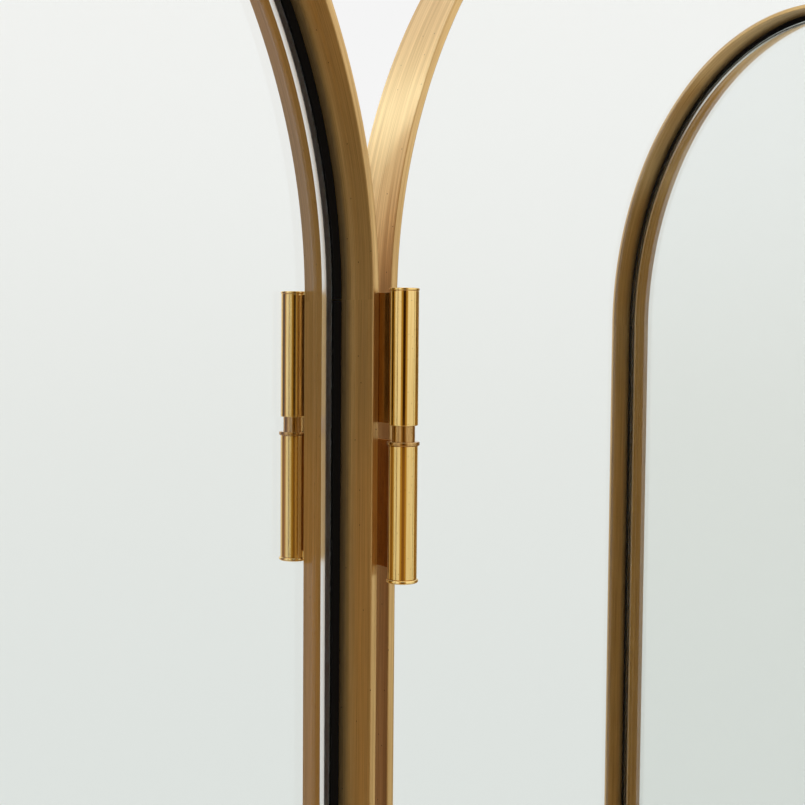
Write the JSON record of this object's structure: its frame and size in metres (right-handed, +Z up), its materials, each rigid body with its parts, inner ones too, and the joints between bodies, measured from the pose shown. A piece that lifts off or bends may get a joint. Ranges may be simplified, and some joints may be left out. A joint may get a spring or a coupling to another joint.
{
  "type": "mirrored room divider",
  "caption": "Free-standing folding screen: arched flat-bar brass panels round recessed mirrors, joined by lift-off hinges, with wings that fold forward.",
  "frame": {"origin": "middle of the floor area that the open divider covers, on the floor", "axes": "+Z up, +X along the centre panel from the left hinges to the right ones, -Y the way the centre mirror faces"},
  "size_m": [1.1424, 0.5326, 1.8],
  "materials": {
    "brushed_brass": "brushed lengthwise, satin",
    "polished_brass": "polished",
    "plain_brass": "as drawn",
    "mirror_glass": "clear float glass silvered on the back",
    "black_strip": "matt",
    "black_board": "painted matt black",
    "black_nylon": "moulded"
  },
  "bodies": {
    "centre": {"centre_arch_band": "brushed_brass", "centre_left_stile": "brushed_brass", "centre_right_stile": "brushed_brass", "centre_bottom_rail": "brushed_brass", "centre_mirror": "mirror_glass", "centre_edge_strips": "black_strip", "centre_back_board": "black_board", "centre_board_lugs": "plain_brass", "centre_board_screws": "plain_brass", "centre_glides": "black_nylon", "centre_flap_screws": "polished_brass", "upper_left_hinge_centre_half": "polished_brass", "upper_left_hinge_pin": "plain_brass", "upper_left_hinge_collar": "plain_brass", "upper_left_hinge_bottom_cap": "polished_brass", "lower_left_hinge_centre_half": "polished_brass", "lower_left_hinge_pin": "plain_brass", "lower_left_hinge_collar": "plain_brass", "lower_left_hinge_bottom_cap": "polished_brass", "upper_right_hinge_centre_half": "polished_brass", "upper_right_hinge_pin": "plain_brass", "upper_right_hinge_collar": "plain_brass", "upper_right_hinge_bottom_cap": "polished_brass", "lower_right_hinge_centre_half": "polished_brass", "lower_right_hinge_pin": "plain_brass", "lower_right_hinge_collar": "plain_brass", "lower_right_hinge_bottom_cap": "polished_brass"},
    "left_wing": {"left_wing_arch_band": "brushed_brass", "left_wing_left_stile": "brushed_brass", "left_wing_right_stile": "brushed_brass", "left_wing_bottom_rail": "brushed_brass", "left_wing_mirror": "mirror_glass", "left_wing_edge_strips": "black_strip", "left_wing_back_board": "black_board", "left_wing_board_lugs": "plain_brass", "left_wing_board_screws": "plain_brass", "left_wing_glides": "black_nylon", "left_wing_flap_screws": "polished_brass", "upper_left_hinge_wing_half": "polished_brass", "upper_left_hinge_top_cap": "polished_brass", "lower_left_hinge_wing_half": "polished_brass", "lower_left_hinge_top_cap": "polished_brass"},
    "right_wing": {"right_wing_arch_band": "brushed_brass", "right_wing_left_stile": "brushed_brass", "right_wing_right_stile": "brushed_brass", "right_wing_bottom_rail": "brushed_brass", "right_wing_mirror": "mirror_glass", "right_wing_edge_strips": "black_strip", "right_wing_back_board": "black_board", "right_wing_board_lugs": "plain_brass", "right_wing_board_screws": "plain_brass", "right_wing_glides": "black_nylon", "right_wing_flap_screws": "polished_brass", "upper_right_hinge_wing_half": "polished_brass", "upper_right_hinge_top_cap": "polished_brass", "lower_right_hinge_wing_half": "polished_brass", "lower_right_hinge_top_cap": "polished_brass"}
  },
  "joints": [
    {"name": "left_wing_fold", "type": "hinge", "parent": "centre", "child": "left_wing", "pos_m": [-0.06969, 0.22385, 0], "axis": [0, 0, 1], "range_deg": [-10, 170]},
    {"name": "right_wing_fold", "type": "hinge", "parent": "centre", "child": "right_wing", "pos_m": [0.43371, 0.22385, 0], "axis": [0, 0, -1], "range_deg": [-79, 26]}
  ]
}
